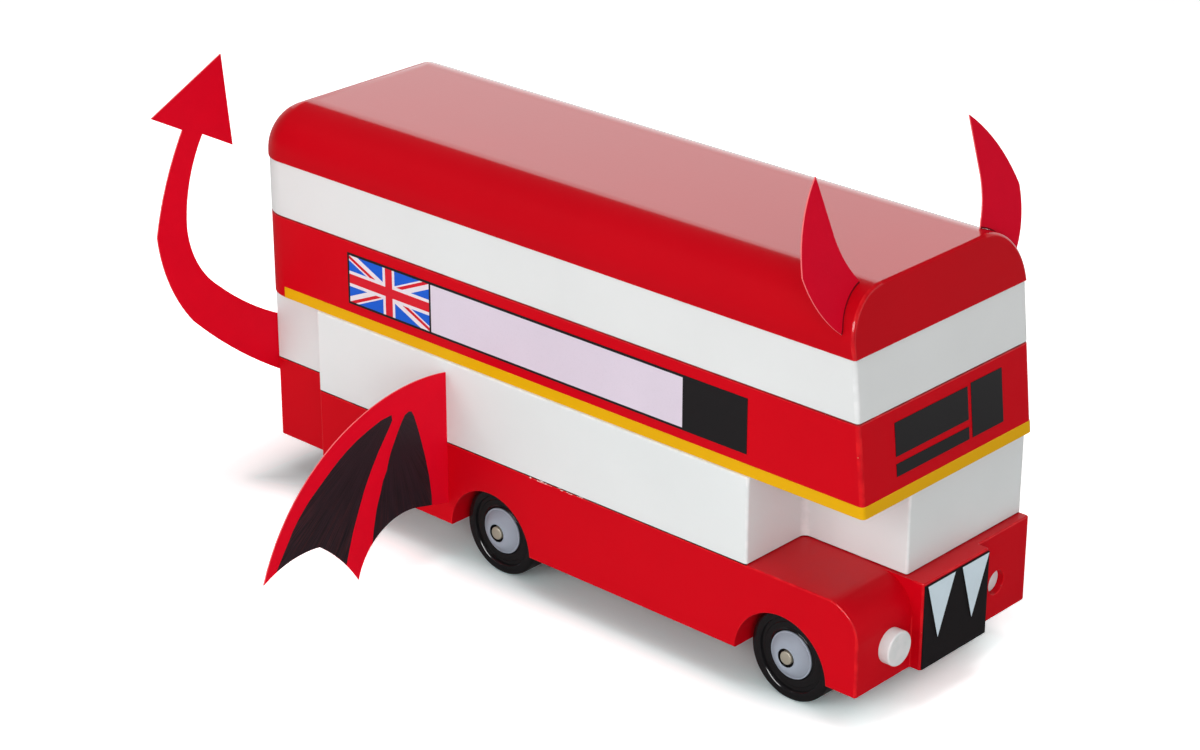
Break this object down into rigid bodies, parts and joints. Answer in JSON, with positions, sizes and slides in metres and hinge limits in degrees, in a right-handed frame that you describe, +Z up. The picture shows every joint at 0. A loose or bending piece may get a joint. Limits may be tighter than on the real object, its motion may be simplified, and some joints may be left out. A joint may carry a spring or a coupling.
{
  "type": "toy double decker bus in a paper costume",
  "caption": "Painted wooden toy double decker bus on rolling wheelsets, dressed with card horns, wings, tail, grille and fangs.",
  "frame": {"origin": "on the floor under the middle of the body's length and width", "axes": "+X to the bus's front, +Y to its left, +Z up"},
  "size_m": [0.2462, 0.2262, 0.1555],
  "materials": {
    "red_paint": "deep red gloss paint on wood",
    "white_paint": "white gloss paint on wood",
    "yellow_paint": "golden yellow gloss paint",
    "black_card": "black card, satin",
    "pale_card": "pale blue-white card",
    "red_card": "bright red matt card",
    "lamp_paint": "white gloss paint on a peg",
    "printed_sign": "printed gloss paper, black",
    "printed_banner": "printed gloss paper in colours",
    "bare_steel": "plain drawn steel",
    "black_tyre": "moulded black gloss",
    "hub_paint": "pale blue-grey gloss"
  },
  "bodies": {
    "bus_body": {"chassis": "red_paint", "lower_deck": "white_paint", "waist_band": "red_paint", "waist_stripe": "yellow_paint", "window_band": "white_paint", "roof": "red_paint", "grille_card": "black_card", "fang_right": "pale_card", "fang_left": "pale_card", "tail_card": "red_card", "lamp_right": "lamp_paint", "lamp_left": "lamp_paint", "destination_blind": "printed_sign", "route_bar": "printed_sign", "number_blind": "printed_sign", "horn_right": "red_card", "horn_left": "red_card", "wing_right": "red_card", "wing_left": "red_card", "banner_right": "printed_banner", "banner_left": "printed_banner", "axle_strap_front": "bare_steel", "axle_strap_rear": "bare_steel"},
    "front_wheels": {"axle_front": "bare_steel", "tyre_front_right": "black_tyre", "hub_front_right": "hub_paint", "tyre_front_left": "black_tyre", "hub_front_left": "hub_paint"},
    "rear_wheels": {"axle_rear": "bare_steel", "tyre_rear_right": "black_tyre", "hub_rear_right": "hub_paint", "tyre_rear_left": "black_tyre", "hub_rear_left": "hub_paint"}
  },
  "joints": [
    {"name": "front_wheels_roll", "type": "hinge", "parent": "bus_body", "child": "front_wheels", "pos_m": [0.0922, 0, 0.014], "axis": [0, 1, 0], "continuous": true},
    {"name": "rear_wheels_roll", "type": "hinge", "parent": "bus_body", "child": "rear_wheels", "pos_m": [-0.0198, 0, 0.014], "axis": [0, 1, 0], "continuous": true}
  ]
}
